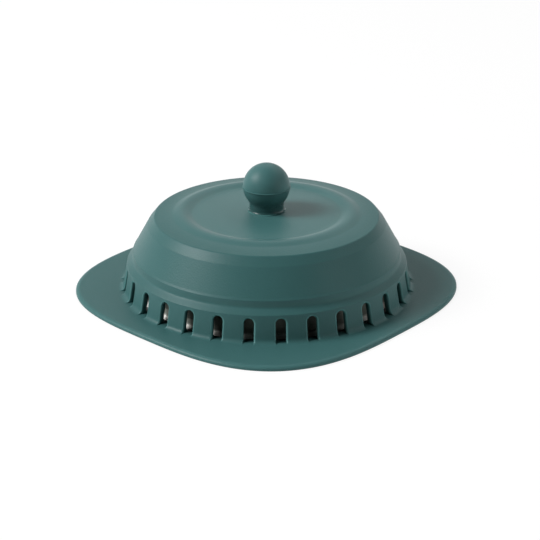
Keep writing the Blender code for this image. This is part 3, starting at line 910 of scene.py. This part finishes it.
def cover_silicone(group):
    """Matte teal silicone of the cover, with a faint bloom coat and painted light on the top
    inside the ridge.
    """
    material, tree, shader = new_material("cover_silicone")
    skin = moulded_skin(tree, group, SILICONE, SILICONE_PALE, COVER_ROUGHNESS)
    point = object_point(tree, (-1300, -300))
    axes = split_axes(tree, point, (-1100, -500))
    radius = radius_about_axis(tree, point, (-1100, -300))
    top = times(tree, ramp(tree, radius, DOME_BANDS[-1][0], RIDGE_INNER[0], (-700, -400)),
                ramp(tree, axes["Z"], CEILING, RIDGE_INNER[1], (-700, -650)), (-500, -500))
    # Painted light along the slots' edges and the flange's rim
    thin = highest(tree, painted_slot_edge_light(tree, axes, radius),
                   times(tree, painted_rim_light(tree, point), RIM_PALE_SHARE, (-900, -1700)),
                   (-500, -1200))
    # Painted shade deep in the slots
    dark = times(tree, painted_slot_shade(tree, axes["Z"], radius), SLOT_DARK_SHARE, (-1500, 1100))
    # Painted light: a paler colour on the top, under its bloom coat
    colour = blended(tree, top, skin["Colour"], SILICONE_TOP_PAINTED_LIGHT, (-250, 200))
    colour = blended(tree, thin, colour, SILICONE_EDGE_PAINTED_LIGHT, (-50, 200))
    colour = blended(tree, dark, colour, SILICONE_PAINTED_SHADE, (150, 200))
    finish_surface(tree, shader, {
        "Base Color": colour,
        "Roughness": skin["Roughness"],
        "Specular IOR Level": SILICONE_GLOSS,
        "Coat Weight": times(tree, top, BLOOM_WEIGHT, (-300, -500)),
        "Coat Roughness": COVER_BLOOM_ROUGHNESS,
        "Coat IOR": BLOOM_IOR,
    }, skin["Height"], COVER_GRAIN)
    return material


def knob_silicone(group):
    """The same silicone on the knob, glossier with painted shade under its seam and painted light
    at its foot.
    """
    material, tree, shader = new_material("knob_silicone")
    skin = moulded_skin(tree, group, SILICONE_PALE, SILICONE_BALL, KNOB_ROUGHNESS)
    height = split_axes(tree, object_point(tree, (-1100, -200)), (-900, -200))["Z"]
    # Painted shade: the colour darkens towards the ball's bottom and under its parting line
    fading = times(tree, ramp(tree, height, BALL_HEIGHT - BALL_RADIUS, KNOB_SEAM, (-900, 100)),
                   UNDER_SEAM_SHARE, (-700, 0))
    above = highest(tree, fading, ramp(tree, height, KNOB_SEAM - SEAM_FADE,
                                       KNOB_SEAM + SEAM_FADE, (-700, -200)), (-500, -300))
    foot = ramp(tree, height, FOOT_LIP + LIP_FADE, FOOT_LIP, (-700, 300))
    pale = highest(tree, above, foot, (-450, 300))
    colour = blended(tree, pale, SILICONE_PAINTED_SHADE, skin["Colour"], (-250, 200))
    # Painted light on the lip of the foot
    colour = blended(tree, foot, colour, SILICONE_EDGE_PAINTED_LIGHT, (-50, 200))
    matte = scaled(tree, above, (0.0, 1.0), (UNDER_SEAM_ROUGHNESS, 1.0), (-450, -200))
    upper = ramp(tree, height, KNOB_SEAM, BALL_HEIGHT + BALL_RADIUS / 2, (-700, -600))
    finish_surface(tree, shader, {
        "Base Color": colour,
        "Roughness": times(tree, skin["Roughness"], matte, (-250, -100)),
        "Specular IOR Level": SILICONE_GLOSS,
        "Coat Weight": times(tree, upper, BLOOM_WEIGHT, (-450, -600)),
        "Coat Roughness": KNOB_BLOOM_ROUGHNESS,
        "Coat IOR": BLOOM_IOR,
    }, skin["Height"], KNOB_GRAIN)
    return material


def painted_wall_shade(tree, radius, height):
    """1 where shade is painted on the outer side of the liner's wall, between its bright foot and
    its shoulder.
    """
    straightened = radius
    for i, (low, high) in enumerate(((WALL_FOOT, WALL_MIDDLE), (WALL_MIDDLE, WALL_TOP))):
        drawn_in = scaled(tree, height, (low[1], high[1]), (0.0, low[0] - high[0]),
                          (-1100, 600 + 300 * i))
        straightened = maths(tree, "ADD", (-900, 600 + 300 * i), drawn_in, straightened)
    outer = ramp(tree, straightened, *(WALL_FOOT[0] - share * STEEL_THICK
                                       for share in WALL_SHADE_THROUGH), (-700, 600))
    above_foot = ramp(tree, height, *(WALL_FOOT[1] - drop for drop in WALL_SHADE_START), (-700, 850))
    under_top = ramp(tree, height, WALL_TOP[1], WALL_TOP[1] - WALL_SHADE_FADE, (-700, 1100))
    return times(tree, times(tree, outer, above_foot, (-500, 700)), under_top, (-300, 800))


def turned_steel(name, colour, roughness, marks_scale, wall_shade=None):
    """Stainless steel with faint marks that run round the axis, perhaps with painted shade on its
    wall.
    """
    material, tree, shader = new_material(name)
    point = object_point(tree, (-1300, 0))
    height = split_axes(tree, point, (-1100, -100))["Z"]
    radius = radius_about_axis(tree, point, (-1100, 100))
    marks = node(tree, "ShaderNodeTexNoise", (-300, 50), noise_dimensions="1D")
    marks.inputs["Scale"].default_value = marks_scale
    marks.inputs["Detail"].default_value = 4.0
    tree.links.new(maths(tree, "SUBTRACT", (-500, 50), radius, height), marks.inputs["W"])
    smudges = noise(tree, point, SMUDGE_SCALE, (-500, 350))
    smudged = [channel * SMUDGE_SHARE for channel in colour]
    tone = blended(tree, smudges, smudged, colour, (-100, 350))
    # Painted shade on the outer side of the liner's wall
    if wall_shade:
        tone = blended(tree, painted_wall_shade(tree, radius, height), tone, wall_shade, (100, 350))
    finish_surface(tree, shader, {
        "Base Color": tone,
        "Metallic": 1.0,
        "Roughness": scaled(tree, marks.outputs["Fac"], (0.0, 1.0),
                            [roughness * share for share in ROUGHNESS_SHARES], (-100, 50)),
    }, marks.outputs["Fac"], STEEL_GRAIN)
    return material


def core_nylon():
    """Dark moulded nylon of the knob's core."""
    material, tree, shader = new_material("core_nylon")
    speckle = noise(tree, object_point(tree, (-800, 0)), SPECKLE_SCALE, (-600, 0))
    finish_surface(tree, shader, {
        "Base Color": blended(tree, speckle, NYLON, NYLON_PALE, (-300, 0)),
        "Roughness": NYLON_ROUGHNESS,
    }, speckle, NYLON_GRAIN)
    return material


def floor_material():
    """White to the rays that show the background, with a faint shadow, and plain else."""
    material = bpy.data.materials.new("white_sweep")
    material.use_nodes = True
    tree = material.node_tree
    tree.nodes.clear()
    lit = node(tree, "ShaderNodeBsdfDiffuse", (0, 100))
    feed(tree, lit.inputs["Color"], FLOOR_LIT)
    shadowed = node(tree, "ShaderNodeBsdfDiffuse", (0, -50))
    feed(tree, shadowed.inputs["Color"], FLOOR_SHOWN)
    radius = vector_maths(tree, "LENGTH", (-400, -300), object_point(tree, (-600, -300)))
    glow = node(tree, "ShaderNodeEmission", (0, -200))
    tree.links.new(scaled(tree, radius["Value"], (CAVITY_FOOT[0], SKIRT_FOOT_RADIUS),
                          (0.0, FLOOR_GLOW), (-200, -300)), glow.inputs["Strength"])
    shown = node(tree, "ShaderNodeAddShader", (200, -100))
    tree.links.new(shadowed.outputs[0], shown.inputs[0])
    tree.links.new(glow.outputs[0], shown.inputs[1])
    mix = node(tree, "ShaderNodeMixShader", (400, 0))
    tree.links.new(background_rays(tree, (-400, 300)), mix.inputs["Fac"])
    tree.links.new(lit.outputs[0], mix.inputs[1])
    tree.links.new(shown.outputs[0], mix.inputs[2])
    output = node(tree, "ShaderNodeOutputMaterial", (600, 0))
    tree.links.new(mix.outputs[0], output.inputs["Surface"])
    return material


def make_floor():
    """Level floor at zero, which is no part of the object."""
    bm = bmesh.new()
    bmesh.ops.create_grid(bm, x_segments=2, y_segments=2, size=FLOOR_HALF)
    floor = mesh_object("floor", bm, floor_material())


def room_glow(tree, level, rise):
    """Glow of the room's lobes, from the level direction and the rise that a ray looks in."""
    room = ROOM_GLOW
    for i, (name, azimuth, side_ramp, up_ramps, glow) in enumerate(ROOM_LOBES):
        low = -500 * i
        facing = vector_maths(tree, "DOT_PRODUCT", (-600, low), level, direction(azimuth),
                              label=name)
        lobe = ramp(tree, facing["Value"], *side_ramp, (-400, low))
        for up_ramp in up_ramps:
            lobe = times(tree, lobe, ramp(tree, rise, *up_ramp, (-200, low)), (0, low))
        room = maths(tree, "MULTIPLY_ADD", (300 + 200 * i, low), lobe, glow, room)
    return room


def make_world():
    """White behind the object to the rays that show it; lobes of light to the others."""
    world = bpy.data.worlds.new("white_room")
    bpy.context.scene.world = world
    world.use_nodes = True
    tree = world.node_tree
    tree.nodes.clear()
    look = node(tree, "ShaderNodeTexCoord", (-1200, 0)).outputs["Generated"]
    rise = split_axes(tree, look, (-1000, -200))["Z"]
    flat = vector_maths(tree, "MULTIPLY", (-1000, 100), look, LEVEL)["Vector"]
    level = vector_maths(tree, "NORMALIZE", (-800, 100), flat)["Vector"]
    path = node(tree, "ShaderNodeLightPath", (-600, 500)).outputs
    behind = vector_maths(tree, "DOT_PRODUCT", (-600, 800), level,
                          direction(BACK_WALL_AZIMUTH))["Value"]
    wall = times(tree, ramp(tree, behind, *BACK_WALL_SIDES, (-400, 800)),
                 ramp(tree, rise, *BACK_WALL_TOP, (-400, 1000)), (-200, 800))
    mirrored = times(tree, wall, path["Is Glossy Ray"], (0, 700))
    shown = highest(tree, path["Is Camera Ray"], path["Is Transmission Ray"], (0, 500))
    shown = highest(tree, shown, mirrored, (200, 600))
    strength = highest(tree, shown, room_glow(tree, level, rise), (1000, 200))
    back = node(tree, "ShaderNodeBackground", (1200, 0))
    output = node(tree, "ShaderNodeOutputWorld", (1400, 0))
    tree.links.new(strength, back.inputs["Strength"])
    tree.links.new(back.outputs[0], output.inputs["Surface"])


def make_softbox(name, azimuth, elevation, distance, spread, glow):
    """Lamp that faces the object.

    The spread is half of what it covers, in degrees across and up, and the glow is how
    bright it looks beside a white of 1.
    """
    elevation = math.radians(elevation)
    place = (direction(azimuth) * math.cos(elevation) + UP * math.sin(elevation)) * distance
    width, height = (2 * distance * math.tan(math.radians(half)) for half in spread)
    light = bpy.data.lights.new(name, "AREA")
    light.shape = "RECTANGLE"
    light.size, light.size_y = width, height
    light.energy = glow * math.pi * width * height
    lamp = bpy.data.objects.new(name, light)
    lamp.visible_camera = False
    lamp.matrix_world = (Matrix.Translation(place)
                         @ place.to_track_quat("Z", "Y").to_matrix().to_4x4())
    bpy.context.scene.collection.objects.link(lamp)


def make_camera():
    """Camera where the photograph was taken from."""
    forward = -TO_FRONT * math.cos(CAMERA_ELEVATION) - UP * math.sin(CAMERA_ELEVATION)
    up = TO_RIGHT.cross(forward)
    c, s = math.cos(CAMERA_ROLL), math.sin(CAMERA_ROLL)
    turn = Matrix((TO_RIGHT * c + up * s, up * c - TO_RIGHT * s, -forward)).transposed()
    camera = bpy.data.cameras.new("camera")
    camera.lens = CAMERA_LENS_MM
    camera.sensor_width = CAMERA_SENSOR_MM
    camera.clip_start = CAMERA_CLIP_START
    viewer = bpy.data.objects.new("camera", camera)
    viewer.matrix_world = (Matrix.Translation(CAMERA_AIM - forward * CAMERA_DISTANCE)
                           @ turn.to_4x4())
    bpy.context.scene.collection.objects.link(viewer)
    bpy.context.scene.camera = viewer


make_camera()
make_world()
make_floor()
for box in SOFTBOXES:
    make_softbox(*box)

skin_group = moulded_group()
liner_steel = turned_steel("polished_steel", STEEL_BRIGHT, LINER_ROUGHNESS, LINER_MARKS,
                           STEEL_PAINTED_SHADE)
screw_steel = turned_steel("plain_steel", STEEL_PLAIN, SCREW_ROUGHNESS, SCREW_MARKS)
make_cover_moulding(cover_silicone(skin_group))
make_knob_skin(knob_silicone(skin_group))
make_steel_liner(liner_steel)
make_washer(screw_steel)
make_screw(screw_steel)

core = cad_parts["knob_core"]
core.data.materials.clear()
core.data.materials.append(core_nylon())

bpy.context.scene.view_settings.view_transform = "Standard"
